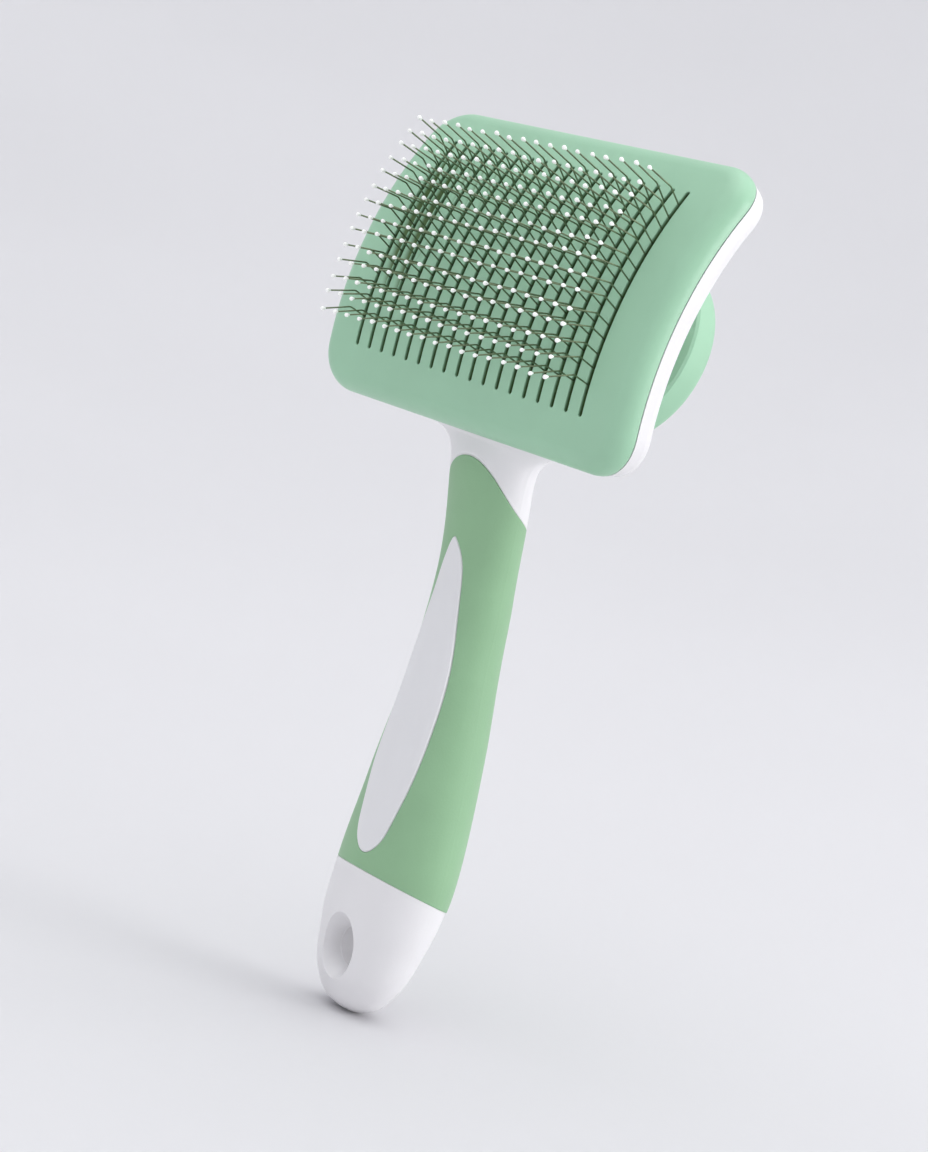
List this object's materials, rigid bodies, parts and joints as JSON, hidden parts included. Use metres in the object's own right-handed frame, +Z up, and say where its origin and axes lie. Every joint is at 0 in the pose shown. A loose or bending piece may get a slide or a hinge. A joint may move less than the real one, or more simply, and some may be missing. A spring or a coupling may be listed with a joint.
{
  "type": "slicker brush",
  "caption": "Pet slicker brush with a curved slotted cleaning plate over bent wire pins, pushed out by a round button behind the head; soft grip handle with a hanging hole.",
  "frame": {"origin": "on the floor under the middle of the brush, at the end of the handle", "axes": "+Z up the handle to the head, -Y out of the face on the pin side, X across the head"},
  "size_m": [0.0996, 0.0623, 0.1865],
  "materials": {
    "mint_plastic": "satin moulded ABS",
    "white_plastic": "satin moulded ABS",
    "soft_grip": "matt soft-touch TPR",
    "pad_rubber": "matt rubber",
    "pin_wire": "drawn stainless wire",
    "tip_plastic": "glossy beads",
    "inner_plastic": "unpolished moulded",
    "bush_plastic": "natural acetal",
    "zinc_steel": "zinc plated",
    "spring_steel": "drawn spring wire"
  },
  "bodies": {
    "brush": {"main_body": "white_plastic", "pin_carrier": "inner_plastic", "pin_pad": "pad_rubber", "prop_pins": "pin_wire", "prop_pin_tips": "tip_plastic", "field_pins": "pin_wire", "field_pin_tips": "tip_plastic", "carrier_screws": "zinc_steel", "housing_cover": "white_plastic", "guide_bush": "bush_plastic", "cover_screws": "zinc_steel", "return_springs": "spring_steel", "grip_sleeve": "soft_grip", "grip_inlay": "white_plastic", "end_cap": "white_plastic"},
    "cleaner": {"face_plate": "mint_plastic", "push_plate": "inner_plastic", "post_screws": "zinc_steel", "button_stem": "mint_plastic", "button_screw": "zinc_steel", "button_cap": "mint_plastic"}
  },
  "joints": [
    {"name": "cleaning_stroke", "type": "slide", "parent": "brush", "child": "cleaner", "axis": [0, -0.9583, 0.2857], "range_m": [0, 0.0085], "stiffness_N_per_m": 900, "springref_m": -0.0025, "deforming": ["return_springs"]}
  ]
}
